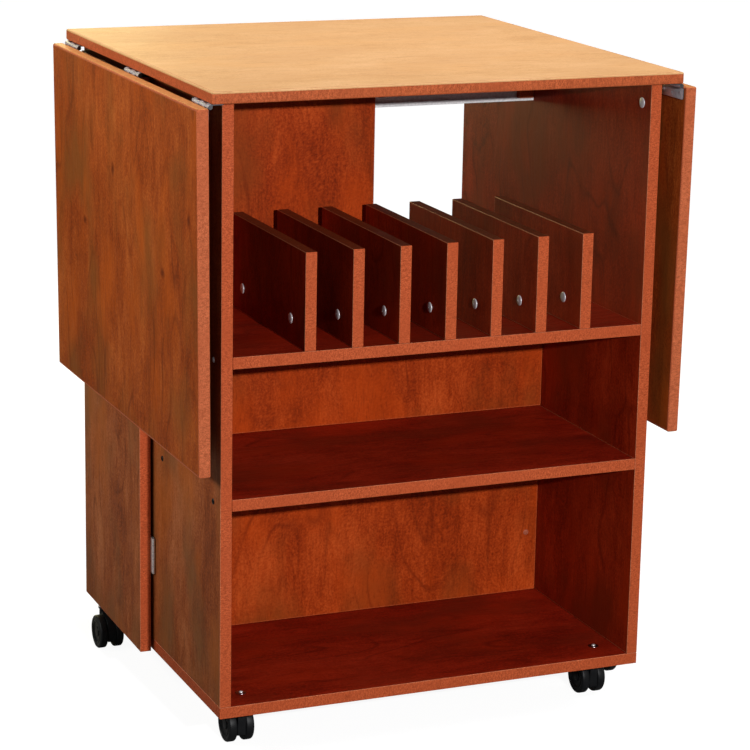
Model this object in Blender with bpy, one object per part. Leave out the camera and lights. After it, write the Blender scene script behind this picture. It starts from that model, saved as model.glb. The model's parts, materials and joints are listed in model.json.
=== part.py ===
"""Mobile drop-leaf cutting and sewing table.

A cabinet of 16 mm laminated boards on twin-wheel casters. Its top has a drop leaf on each long
side. Under each leaf a gate panel with its own caster folds flat against the cabinet's side.

Frame: metres, +Z up, the front faces -Y. The origin is on the floor under the top's centre.
"""
import bpy
import bmesh
from math import cos, pi, radians, sin
from mathutils import Matrix, Vector

# ---- driving dimensions (metres) ----
GAP = 0.0003                 # between pieces that touch
BOARD = 0.016                # board thickness
TABLE_HEIGHT = 0.914
TOP_WIDTH = 0.676
TOP_DEPTH = 0.652
TOP_ROUND = 0.0025           # rounding of the thick edge banding on the top and the leaves

CABINET_WIDTH = 0.634
CABINET_DEPTH = 0.608
BOTTOM_BOARD_BASE = 0.059    # underside of the bottom board above the floor
LOWER_SHELF_BASE = 0.3505
DIVIDER_SHELF_BASE = 0.545
BACK_FACE_Y = -0.002         # front face of the panels at mid depth
UPPER_BACK_RIGHT_X = 0.0215  # the upper panel covers only the left half

DIVIDER_COUNT = 7
DIVIDER_FIRST_X = -0.2003    # left face of the first divider
DIVIDER_PITCH = 0.0676
DIVIDER_DEPTH = 0.2855
DIVIDER_TOP_Z = 0.695

RAIL_FRONT_Y = 0.057         # channel rail under the top, open to the front
RAIL_DEPTH = 0.0125
RAIL_BASE_Z = 0.8205
RAIL_HEIGHT = 0.035
RAIL_SHEET = 0.0015
RAIL_BLOCK_WIDTH = 0.023

LEAF_LENGTH = 0.486          # along the leaf when it hangs, from hinge edge to free edge
LEAF_SEAM = 0.0005           # hinge pin to each board's edge, measured across the top
LEAF_PIN_DROP = 0.004        # hinge pin below the boards' undersides
LEAF_LEAN = 0.50             # degrees each leaf leans in at its foot as it hangs

HINGE_LENGTH = 0.0635        # five-knuckle butt hinge under the leaves
HINGE_PLATE = 0.0016
HINGE_PLATE_REACH = 0.0190   # from the pin's centre to the plate's edge
HINGE_KNUCKLE_R = 0.0031
HINGE_PIN_R = 0.0013
HINGE_BORE_R = 0.0017
HINGE_END_INSET = 0.006      # outer hinges, from the top's front and back edges
HINGE_KNUCKLES = 5
HINGE_SIDES = 14
PIN_SIDES = 8
PIN_RECESS = 0.0008          # pin's ends, inside the outer knuckles
TAB_SETBACK = 0.0002

GATE_LENGTH = 0.2815
GATE_TOP_Z = 0.8903          # just below the leaf hinges
GATE_STANDOFF = 0.0046       # cabinet side to gate at the hinge
GATE_PIN_STANDOFF = 0.0026   # cabinet side to hinge pin
GATE_PIN_Y = -0.0268         # left gate's pin; the right gate is turned half a turn
GATE_PIN_LEAD = 0.006        # pin ahead of the gate's hinge edge
GATE_LEAN = 0.70             # degrees the free end closes in towards the cabinet
GATE_HINGE_LENGTH = 0.053
GATE_HINGE_BASES = (0.1785, 0.7260)
GATE_KNUCKLE_R = 0.0023
GATE_PIN_R = 0.0009
GATE_BORE_R = 0.0013
GATE_PLATE = 0.0013
GATE_PLATE_REACH = 0.026

WHEEL_R = 0.025
WHEEL_WIDTH = 0.0123
WHEEL_PAIR_WIDTH = 0.037
WHEEL_EDGE = 0.003
WHEEL_SIDES = 32
WHEEL_DISH = 0.0022
CASTER_TRAIL = 0.018         # swivel axis to axle
AXLE_R = 0.003
AXLE_BORE_R = 0.0033
FORK_WIDTH = 0.0116
FORK_HUB_R = 0.0155
FORK_STEPS = 14
FORK_SIDES = 18
NECK_R = 0.0070
COLLAR_R = 0.0085
COLLAR_HEIGHT = 0.003
CABINET_CASTER_X = 0.2705
CABINET_CASTER_Y = 0.2586
GATE_CASTER_FROM_PIN = 0.2186

# ---- derived dimensions ----
HALF_TOP_X = TOP_WIDTH / 2
HALF_TOP_Y = TOP_DEPTH / 2
HALF_CAB_X = CABINET_WIDTH / 2
HALF_CAB_Y = CABINET_DEPTH / 2
INNER_X = HALF_CAB_X - BOARD
TOP_BASE = TABLE_HEIGHT - BOARD
FLOOR_OF_CABINET = BOTTOM_BOARD_BASE + BOARD
LOWER_SHELF_TOP = LOWER_SHELF_BASE + BOARD
DIVIDER_SHELF_TOP = DIVIDER_SHELF_BASE + BOARD
LEAF_PIN_X = HALF_TOP_X + LEAF_SEAM
LEAF_PIN_Z = TOP_BASE - LEAF_PIN_DROP
GATE_PIN_OUT = HALF_CAB_X + GATE_PIN_STANDOFF

# name: (base colour, metallic, roughness)
FINISHES = {
    "top_laminate": ((0.66, 0.36, 0.155), 0.0, 0.34),
    "cherry_laminate": ((0.21, 0.062, 0.017), 0.0, 0.42),
    "zinc": ((0.68, 0.69, 0.70), 1.0, 0.30),
    "grey_steel": ((0.50, 0.51, 0.53), 0.85, 0.42),
    "black_nylon": ((0.012, 0.013, 0.015), 0.0, 0.38),
}


def clear_scene():
    for item in list(bpy.data.objects):
        bpy.data.objects.remove(item, do_unlink=True)


def material(name):
    """One Principled material for a piece, made on first use."""
    found = bpy.data.materials.get(name)
    if found:
        return found
    colour, metallic, roughness = FINISHES[name]
    made = bpy.data.materials.new(name)
    made.use_nodes = True
    shader = made.node_tree.nodes["Principled BSDF"]
    shader.inputs["Base Color"].default_value = (*colour, 1.0)
    shader.inputs["Metallic"].default_value = metallic
    shader.inputs["Roughness"].default_value = roughness
    return made


def empty_at(name, place):
    """An empty on a joint's axis, which its moving pieces are parented to."""
    made = bpy.data.objects.new(name, None)
    made.location = place
    bpy.context.collection.objects.link(made)
    return made


def add_object(name, mesh_data, finish, parent=None, place=(0, 0, 0)):
    made = bpy.data.objects.new(name, mesh_data)
    made.location = place
    made.parent = parent
    bpy.context.collection.objects.link(made)
    mesh_data.materials.append(material(finish))
    return made


def box_mesh(name, low, high):
    shape = bmesh.new()
    bmesh.ops.create_cube(shape, size=1.0)
    size = [b - a for a, b in zip(low, high)]
    middle = [(a + b) / 2 for a, b in zip(low, high)]
    bmesh.ops.scale(shape, vec=size, verts=shape.verts)
    bmesh.ops.translate(shape, vec=middle, verts=shape.verts)
    mesh_data = bpy.data.meshes.new(name)
    shape.to_mesh(mesh_data)
    shape.free()
    return mesh_data


def add_box(name, low, high, finish="cherry_laminate", parent=None, place=(0, 0, 0)):
    return add_object(name, box_mesh(name, low, high), finish, parent, place)


def round_edges(item, radius, segments=2):
    rounding = item.modifiers.new("rounded_edges", "BEVEL")
    rounding.width = radius
    rounding.segments = segments
    rounding.limit_method = "ANGLE"
    return rounding


def tube_mesh(name, outer_r, inner_r, start, end, sides):
    """A ring of metal along +Y, or a solid rod where inner_r is 0."""
    shape = bmesh.new()
    outline = [(outer_r, start), (outer_r, end)]
    if inner_r > 0:
        outline += [(inner_r, end), (inner_r, start)]
    else:
        outline = [(0.0, start)] + outline + [(0.0, end)]
    turned(shape, outline, sides, closed=inner_r > 0)
    mesh_data = bpy.data.meshes.new(name)
    shape.to_mesh(mesh_data)
    shape.free()
    return mesh_data


def turned(shape, outline, sides, closed):
    """Turns an outline of (radius, along) points around the Y axis."""
    rings = []
    for radius, along in outline:
        if radius == 0.0:
            rings.append([shape.verts.new((0, along, 0))])
            continue
        ring = []
        for step in range(sides):
            angle = 2 * pi * step / sides
            ring.append(shape.verts.new((radius * cos(angle), along, radius * sin(angle))))
        rings.append(ring)
    pairs = list(zip(rings, rings[1:]))
    if closed:
        pairs.append((rings[-1], rings[0]))
    for first, second in pairs:
        for step in range(sides):
            following = (step + 1) % sides
            if len(first) == 1:
                shape.faces.new((first[0], second[step], second[following]))
            elif len(second) == 1:
                shape.faces.new((first[step], second[0], first[following]))
            else:
                shape.faces.new((first[step], second[step], second[following], first[following]))
    bmesh.ops.recalc_face_normals(shape, faces=shape.faces)


def joined(name, meshes):
    """Unites overlapping closed meshes into one body."""
    base = bpy.data.objects.new(name, meshes[0])
    bpy.context.collection.objects.link(base)
    tools = []
    for index, extra in enumerate(meshes[1:]):
        tool = bpy.data.objects.new(f"{name}_tool_{index}", extra)
        bpy.context.collection.objects.link(tool)
        union = base.modifiers.new(f"join_{index}", "BOOLEAN")
        union.operation = "UNION"
        union.solver = "EXACT"
        union.object = tool
        tools.append(tool)
    evaluated = base.evaluated_get(bpy.context.evaluated_depsgraph_get())
    result = bpy.data.meshes.new_from_object(evaluated)
    result.name = name
    for item in [base] + tools:
        bpy.data.objects.remove(item, do_unlink=True)
    return result


def knuckle_spans(length, count):
    """Start and end of each knuckle along a hinge that is centred on its own origin."""
    pitch = length / count
    return [(-length / 2 + i * pitch + GAP / 2, -length / 2 + (i + 1) * pitch - GAP / 2) for i in range(count)]


def hinge_half(name, size, plate_top, moving):
    """One half of a butt hinge with its pin along Y through the origin.

    The plate lies above the pin, in the XY plane, and reaches towards +X. The fixed half has
    the outer knuckles. The moving half has the knuckles between them and carries the pin.
    """
    length, plate, reach, knuckle_r, pin_r, bore_r = size
    clear = knuckle_r + 2 * GAP
    parts = [box_mesh(name, (clear, -length / 2 + GAP / 2, plate_top - plate),
                      (reach, length / 2 - GAP / 2, plate_top))]
    for index, (start, end) in enumerate(knuckle_spans(length, HINGE_KNUCKLES)):
        if (index % 2 == 1) != moving:
            continue
        # The tab that joins the knuckle to the plate stays clear of the bore.
        tab_base = max(plate_top - plate, bore_r + (knuckle_r - bore_r) * 0.35)
        tab_start = start + TAB_SETBACK
        tab_end = end - TAB_SETBACK
        parts.append(box_mesh(name, (0.0, tab_start, tab_base), (clear + 0.002, tab_end, plate_top)))
        inner = 0.0 if moving else bore_r
        parts.append(tube_mesh(name, knuckle_r, inner, start, end, HINGE_SIDES))
    if moving:
        pin_end = length / 2 - PIN_RECESS
        parts.append(tube_mesh(name, pin_r, 0.0, -pin_end, pin_end, PIN_SIDES))
    return joined(name, parts)


def caster_fork_mesh():
    """The caster's body, with its swivel axis on Z through the origin and the axle behind it."""
    half = FORK_WIDTH / 2
    top = BOTTOM_BOARD_BASE - GAP
    axle_y = CASTER_TRAIL
    outline = []
    for step in range(FORK_STEPS + 1):
        angle = radians(205) + radians(250) * step / FORK_STEPS
        outline.append((axle_y + FORK_HUB_R * cos(angle), WHEEL_R + FORK_HUB_R * sin(angle)))
    outline.append((axle_y * 0.45, 0.0515))
    outline.append((-NECK_R * 0.80, 0.0515))
    outline.append((-NECK_R * 0.80, 0.0445))
    shape = bmesh.new()
    corners = [shape.verts.new((-half, y, z)) for y, z in outline]
    side = shape.faces.new(corners)
    pushed = bmesh.ops.extrude_face_region(shape, geom=[side])
    moved = [v for v in pushed["geom"] if isinstance(v, bmesh.types.BMVert)]
    bmesh.ops.translate(shape, vec=(FORK_WIDTH, 0, 0), verts=moved)
    bmesh.ops.recalc_face_normals(shape, faces=shape.faces)
    web = bpy.data.meshes.new("fork_web")
    shape.to_mesh(web)
    shape.free()
    bore = tube_mesh("fork_bore", AXLE_BORE_R, 0.0, -FORK_WIDTH, FORK_WIDTH, FORK_SIDES)
    bore.transform(Matrix.Translation((0, axle_y, WHEEL_R)) @ Matrix.Rotation(radians(90), 4, "Z"))
    web = cut(web, bore)
    neck = tube_mesh("fork_neck", NECK_R, 0.0, 0.0470, top, FORK_SIDES)
    collar = tube_mesh("fork_collar", COLLAR_R, 0.0, top - COLLAR_HEIGHT, top, FORK_SIDES)
    for upright in (neck, collar):
        upright.transform(Matrix.Rotation(radians(90), 4, "X"))
    return joined("fork", [web, neck, collar])


def cut(solid, tool_mesh):
    base = bpy.data.objects.new("cut_base", solid)
    tool = bpy.data.objects.new("cut_tool", tool_mesh)
    bpy.context.collection.objects.link(base)
    bpy.context.collection.objects.link(tool)
    taking = base.modifiers.new("cut", "BOOLEAN")
    taking.operation = "DIFFERENCE"
    taking.solver = "EXACT"
    taking.object = tool
    evaluated = base.evaluated_get(bpy.context.evaluated_depsgraph_get())
    result = bpy.data.meshes.new_from_object(evaluated)
    bpy.data.objects.remove(base, do_unlink=True)
    bpy.data.objects.remove(tool, do_unlink=True)
    return result


def wheel_pair_mesh():
    """Two wheels and the axle that joins them, turned around X through the origin."""
    outer = WHEEL_PAIR_WIDTH / 2
    inner = outer - WHEEL_WIDTH
    edge = WHEEL_EDGE
    half = [
        (0.0, outer - WHEEL_DISH),
        (WHEEL_R * 0.62, outer - WHEEL_DISH),
        (WHEEL_R * 0.70, outer),
        (WHEEL_R - edge, outer),
        (WHEEL_R, outer - edge),
        (WHEEL_R, inner),
        (AXLE_R, inner),
    ]
    outline = half + [(radius, -along) for radius, along in reversed(half)]
    shape = bmesh.new()
    turned(shape, outline, WHEEL_SIDES, closed=False)
    bmesh.ops.rotate(shape, cent=(0, 0, 0), matrix=Matrix.Rotation(radians(-90), 3, "Z"), verts=shape.verts)
    bmesh.ops.recalc_face_normals(shape, faces=shape.faces)
    mesh_data = bpy.data.meshes.new("wheel_pair")
    shape.to_mesh(mesh_data)
    shape.free()
    mesh_data.shade_smooth()
    mesh_data.set_sharp_from_angle(angle=radians(35))
    return mesh_data


def build_cabinet():
    top = add_box("top_board", (-HALF_TOP_X, -HALF_TOP_Y, TOP_BASE), (HALF_TOP_X, HALF_TOP_Y, TABLE_HEIGHT),
                  "top_laminate")
    round_edges(top, TOP_ROUND)
    side_low = FLOOR_OF_CABINET + GAP
    side_high = TOP_BASE - GAP
    add_box("left_side", (-HALF_CAB_X, -HALF_CAB_Y, side_low), (-INNER_X, HALF_CAB_Y, side_high))
    add_box("right_side", (INNER_X, -HALF_CAB_Y, side_low), (HALF_CAB_X, HALF_CAB_Y, side_high))
    add_box("bottom_board", (-HALF_CAB_X, -HALF_CAB_Y, BOTTOM_BOARD_BASE),
            (HALF_CAB_X, HALF_CAB_Y, FLOOR_OF_CABINET))
    between = INNER_X - GAP
    for name, base in (("lower_shelf", LOWER_SHELF_BASE), ("divider_shelf", DIVIDER_SHELF_BASE)):
        add_box(name, (-between, -HALF_CAB_Y, base), (between, HALF_CAB_Y, base + BOARD))
    for index in range(DIVIDER_COUNT):
        left = DIVIDER_FIRST_X + index * DIVIDER_PITCH
        add_box(f"divider_{index + 1}", (left, -HALF_CAB_Y, DIVIDER_SHELF_TOP + GAP),
                (left + BOARD, -HALF_CAB_Y + DIVIDER_DEPTH, DIVIDER_TOP_Z))
    panels = (
        ("back_lower", between, FLOOR_OF_CABINET, LOWER_SHELF_BASE),
        ("back_middle", between, LOWER_SHELF_TOP, DIVIDER_SHELF_BASE),
        ("back_upper", UPPER_BACK_RIGHT_X, DIVIDER_SHELF_TOP, TOP_BASE),
    )
    for name, right, low, high in panels:
        add_box(name, (-between, BACK_FACE_Y, low + GAP), (right, BACK_FACE_Y + BOARD, high - GAP))


def build_rail():
    """A channel under the top, with a wooden block in each end that holds it."""
    back = RAIL_FRONT_Y + RAIL_DEPTH
    top = RAIL_BASE_Z + RAIL_HEIGHT
    lip = RAIL_FRONT_Y + RAIL_SHEET
    outline = [
        (RAIL_FRONT_Y, RAIL_BASE_Z), (back, RAIL_BASE_Z), (back, top), (RAIL_FRONT_Y, top),
        (RAIL_FRONT_Y, top - RAIL_SHEET), (back - RAIL_SHEET, top - RAIL_SHEET),
        (back - RAIL_SHEET, RAIL_BASE_Z + RAIL_SHEET), (lip, RAIL_BASE_Z + RAIL_SHEET),
        (lip, RAIL_BASE_Z + 2.2 * RAIL_SHEET), (RAIL_FRONT_Y, RAIL_BASE_Z + 2.2 * RAIL_SHEET),
    ]
    reach = INNER_X - GAP
    shape = bmesh.new()
    corners = [shape.verts.new((-reach, y, z)) for y, z in outline]
    end = shape.faces.new(corners)
    pushed = bmesh.ops.extrude_face_region(shape, geom=[end])
    moved = [v for v in pushed["geom"] if isinstance(v, bmesh.types.BMVert)]
    bmesh.ops.translate(shape, vec=(2 * reach, 0, 0), verts=moved)
    bmesh.ops.recalc_face_normals(shape, faces=shape.faces)
    mesh_data = bpy.data.meshes.new("rail")
    shape.to_mesh(mesh_data)
    shape.free()
    add_object("rail", mesh_data, "grey_steel")
    inside_low = RAIL_BASE_Z + 2.2 * RAIL_SHEET + GAP
    inside_high = top - RAIL_SHEET - GAP
    block_back = back - RAIL_SHEET - GAP
    for name, low_x, high_x in (("rail_block_left", -reach, -reach + RAIL_BLOCK_WIDTH),
                                ("rail_block_right", reach - RAIL_BLOCK_WIDTH, reach)):
        add_box(name, (low_x, RAIL_FRONT_Y, inside_low), (high_x, block_back, inside_high))


def build_leaf(side_name, sign):
    """A drop leaf and its three hinges. sign is -1 for the left leaf and +1 for the right one."""
    axis = empty_at(f"{side_name}_leaf_axis", (sign * LEAF_PIN_X, 0, LEAF_PIN_Z))
    axis.rotation_euler = (0, radians(sign * LEAF_LEAN), 0)
    near = LEAF_PIN_DROP
    far = LEAF_PIN_DROP + BOARD
    low_x, high_x = (near, far) if sign > 0 else (-far, -near)
    leaf = add_box(f"{side_name}_leaf", (low_x, -HALF_TOP_Y, -LEAF_SEAM - LEAF_LENGTH),
                   (high_x, HALF_TOP_Y, -LEAF_SEAM), parent=axis)
    round_edges(leaf, TOP_ROUND)
    size = (HINGE_LENGTH, HINGE_PLATE, HINGE_PLATE_REACH, HINGE_KNUCKLE_R, HINGE_PIN_R, HINGE_BORE_R)
    plate_top = LEAF_PIN_DROP - GAP
    fixed = hinge_half(f"{side_name}_hinge_fixed", size, plate_top, moving=False)
    moving = hinge_half(f"{side_name}_hinge_moving", size, plate_top, moving=True)
    # The fixed half's plate lies under the top, towards the cabinet. The moving half's plate lies
    # on the leaf's inner face and hangs down from the pin.
    if sign > 0:
        fixed.transform(Matrix.Rotation(pi, 4, "Z"))
    moving.transform(Matrix.Rotation(radians(90), 4, "Y"))
    if sign < 0:
        moving.transform(Matrix.Rotation(pi, 4, "Z"))
    outer = HALF_TOP_Y - HINGE_END_INSET - HINGE_LENGTH / 2
    for label, along in (("front", -outer), ("middle", 0.0), ("rear", outer)):
        add_object(f"{side_name}_leaf_hinge_{label}_fixed", fixed.copy(), "zinc",
                   place=(sign * LEAF_PIN_X, along, LEAF_PIN_Z))
        add_object(f"{side_name}_leaf_hinge_{label}_moving", moving.copy(), "zinc", parent=axis,
                   place=(0, along, 0))
    bpy.data.meshes.remove(fixed)
    bpy.data.meshes.remove(moving)


def build_gate(side_name, turn, fork, wheels):
    """A gate panel with its hinges and caster. turn is 0 for the left gate, pi for the right one."""
    around = Matrix.Rotation(turn, 4, "Z")
    pin = around @ Vector((-GATE_PIN_OUT, GATE_PIN_Y, 0))
    axis = empty_at(f"{side_name}_gate_axis", pin)
    axis.rotation_euler = (0, 0, turn - radians(GATE_LEAN))
    face = GATE_PIN_STANDOFF - GATE_STANDOFF
    gate = add_box(f"{side_name}_gate", (face - BOARD, GATE_PIN_LEAD, BOTTOM_BOARD_BASE),
                   (face, GATE_PIN_LEAD + GATE_LENGTH, GATE_TOP_Z), parent=axis)
    round_edges(gate, 0.0008, 1)
    size = (GATE_HINGE_LENGTH, GATE_PLATE, GATE_PLATE_REACH, GATE_KNUCKLE_R, GATE_PIN_R, GATE_BORE_R)
    stand = Matrix.Rotation(radians(90), 4, "X")
    for label, base in zip(("lower", "upper"), GATE_HINGE_BASES):
        middle = base + GATE_HINGE_LENGTH / 2
        name = f"{side_name}_gate_hinge_{label}"
        # Both plates reach along the gate from the pin, one against the cabinet's side and one
        # against the gate's inner face.
        fixed = hinge_half(f"{name}_fixed", size, GATE_PIN_STANDOFF - GAP, moving=False)
        fixed.transform(stand)
        fixed.transform(Matrix.Rotation(radians(90) + turn, 4, "Z"))
        add_object(f"{name}_fixed", fixed, "zinc", place=(pin.x, pin.y, middle))
        moving = hinge_half(f"{name}_moving", size, -face - GAP, moving=True)
        moving.transform(stand)
        moving.transform(Matrix.Rotation(radians(90), 4, "Z"))
        moving.transform(Matrix.Scale(-1, 4, (1, 0, 0)))
        moving.flip_normals()
        add_object(f"{name}_moving", moving, "zinc", parent=axis, place=(0, 0, middle))
    lean = Matrix.Rotation(turn - radians(GATE_LEAN), 4, "Z")
    stem = pin + lean @ Vector((face - BOARD / 2, GATE_CASTER_FROM_PIN, 0))
    build_caster(f"{side_name}_gate", stem, turn + pi, fork, wheels)


def build_caster(place_name, stem, turn, fork, wheels):
    """A caster whose wheels trail behind its swivel axis, towards +Y before the turn."""
    swivel = empty_at(f"{place_name}_swivel_axis", (stem[0], stem[1], 0))
    swivel.rotation_euler = (0, 0, turn)
    fork_part = add_object(f"{place_name}_caster_fork", fork.copy(), "black_nylon", parent=swivel)
    fork_part.data.shade_smooth()
    fork_part.data.set_sharp_from_angle(angle=radians(35))
    add_object(f"{place_name}_caster_wheels", wheels.copy(), "black_nylon", parent=swivel,
               place=(0, CASTER_TRAIL, WHEEL_R))


def main():
    clear_scene()
    build_cabinet()
    build_rail()
    build_leaf("left", -1)
    build_leaf("right", 1)
    fork = caster_fork_mesh()
    wheels = wheel_pair_mesh()
    for label, x, y in (("front_left", -1, -1), ("front_right", 1, -1), ("rear_left", -1, 1), ("rear_right", 1, 1)):
        build_caster(label, (x * CABINET_CASTER_X, y * CABINET_CASTER_Y), 0.0, fork, wheels)
    build_gate("left", 0.0, fork, wheels)
    build_gate("right", pi, fork, wheels)
    bpy.data.meshes.remove(fork)
    bpy.data.meshes.remove(wheels)


main()
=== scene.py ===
"""Looks of the mobile drop-leaf cutting table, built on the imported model.

Every board is rebuilt as a banded laminate board on its solid's own box, and every hinge, caster and
fastener as a finer piece. All sizes are in metres, in the model's frame: +Z up, front towards -Y.
"""
import json
from collections import namedtuple
from math import asin, cos, degrees, pi, radians, sin

import bmesh
import bpy
from mathutils import Matrix, Vector


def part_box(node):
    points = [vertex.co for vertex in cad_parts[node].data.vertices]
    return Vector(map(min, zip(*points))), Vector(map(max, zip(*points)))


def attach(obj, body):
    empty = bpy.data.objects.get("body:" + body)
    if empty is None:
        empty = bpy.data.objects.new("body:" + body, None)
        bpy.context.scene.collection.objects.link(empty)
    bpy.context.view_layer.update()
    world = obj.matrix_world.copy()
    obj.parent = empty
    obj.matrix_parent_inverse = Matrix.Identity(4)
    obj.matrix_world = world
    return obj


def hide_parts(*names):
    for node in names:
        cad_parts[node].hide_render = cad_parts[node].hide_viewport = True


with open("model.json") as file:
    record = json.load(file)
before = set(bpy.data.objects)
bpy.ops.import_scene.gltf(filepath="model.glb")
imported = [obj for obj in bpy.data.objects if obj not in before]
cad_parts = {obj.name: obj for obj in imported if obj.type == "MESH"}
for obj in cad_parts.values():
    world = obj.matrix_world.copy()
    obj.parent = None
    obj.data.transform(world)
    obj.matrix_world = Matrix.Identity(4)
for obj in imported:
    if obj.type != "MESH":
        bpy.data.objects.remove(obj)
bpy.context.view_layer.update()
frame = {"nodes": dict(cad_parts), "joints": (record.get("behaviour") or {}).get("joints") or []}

# ---- camera ----
CAMERA_PLACE = (-1.4550, -3.5050, 1.4210)
CAMERA_TURN = 22.954          # degrees to the right of +Y
CAMERA_TILT = 14.510          # degrees down
CAMERA_ROLL = 1.085           # degrees
CAMERA_LENS = 129.0           # mm
SENSOR_WIDTH = 36.0           # mm

# ---- boards ----
DIVIDERS = 7
BAND = 0.0012                 # edge banding of the carcass boards
THICK_BAND = 0.0030           # edge banding of the top and the leaves
LEAST_BAND = 0.0004           # banding left between an arris and the glue line
SEAM = 0.00025                # half of a glue line's width
SEAM_DEPTH = 0.00008
BOARD_ARRIS = 0.0008          # rounding of the carcass boards' edges
THICK_ARRIS = 0.0025          # rounding of the top's and the leaves' edges
SQUARE_ON = 0.999             # a face is square to an axis when its normal has more than this along it
WIDE_FACE = 0.001             # least area of a board's wide face, in square metres
LEAF_LEAN = 0.50              # degrees inwards at the foot, as the leaves hang
GATE_LEAN = 0.70              # degrees inwards at the free end, as the gates stand folded

# ---- fasteners ----
EMBED = 0.0004                # how far a head's foot goes into its board
CAM_R = 0.0072
CAM_PROUD = 0.0017
DIVIDER_CAM_RISE = 0.034      # above the divider shelf
DIVIDER_CAM_FRONT = 0.0535    # from a divider's front edge
DIVIDER_CAM_REAR = 0.0440     # from a divider's back edge
TOP_CAM_DROP = 0.031          # below the top board
TOP_CAM_SETBACK = 0.0255      # from a side panel's front and back edges
SIDE_SCREW_SETBACK = 0.0295   # from a side panel's front and back edges
SIDE_SCREW_MIDDLE_Y = -0.060  # the middle screw of each three
SCREW_HEAD = (0.0042, 0.0016)         # radius and height
RAIL_SCREW_HEAD = (0.0034, 0.0012)
PLATE_SCREW_HEAD = (0.0026, 0.0004)
COVER_CAP_SETBACK = 0.018     # from the lower back panel's ends
COVER_CAP_RISE = 0.0930       # above the lower back panel's foot
RAIL_SCREW_SETBACK = 0.011    # from the rail's ends

# ---- hinges: pin axis at the origin, plate towards +X with its outer face at plate_top ----
HingeSize = namedtuple("HingeSize", "length plate reach knuckle_r pin_r plate_top")
LEAF_HINGE = HingeSize(0.0635, 0.0016, 0.0190, 0.0031, 0.0013, 0.0037)
GATE_HINGE_FIXED = HingeSize(0.053, 0.0013, 0.026, 0.0023, 0.0009, 0.0023)
GATE_HINGE_MOVING = GATE_HINGE_FIXED._replace(plate_top=0.0017)
KNUCKLES = 5
KNUCKLE_GAP = 0.0003
PLATE_CLEAR = 0.0005          # between a knuckle's barrel and its flat plate
PLATE_CORNER_R = 0.0022
PLATE_EDGE = 0.00018          # bevel of the plate's sheared edges
PIN_CLEAR = 0.0005            # least gap between the pin and a knuckle's tab
PIN_POINT = 0.0004            # length of the pin's tapered end
TAB_REACH = 0.0006            # from a knuckle's barrel to the end of its tab, inside the plate
SCREW_ROW = 0.36              # outer screws' distance from the middle, as a share of the length

# ---- casters ----
WHEEL_R = 0.025
WHEEL_PAIR_WIDTH = 0.037
WHEEL_WIDTH = 0.0123
OUTER_RIM_R = 0.0030          # rounding of the tread's outer edge
INNER_RIM_R = 0.0024          # rounding of the tread's inner edge
AXLE_R = 0.0030
HOOD_WIDTH = 0.0116           # the fork's hood stands between the two wheels
HOOD_R = 0.0249
HOOD_FOOT = 0.0138            # the hood's flat foot, above the floor
HOOD_NECK_Z = 0.0515
HOOD_BACK_Y = -0.0056         # the hood's straight back, from the stem's axis
CASTER_TRAIL = 0.018
CASTER_TOP = 0.0587
MOULDED_EDGE = 0.0006         # rounding of the fork's edges

# ---- rail ----
RAIL_SHEET = 0.0015
RAIL_FOLD = 0.0008            # chamfer that stands for a fold's outer radius
RAIL_LIP_HEIGHT = 0.0042
RAIL_LIP_ROUND = 0.0004
RAIL_MARGIN = 0.0002          # around the lip, when its faces are picked

LAMINATE_SPECULAR = 0.06
AXES = {"X": 0, "Y": 1, "Z": 2}
SIDES = (("left", -1), ("right", 1))


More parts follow.
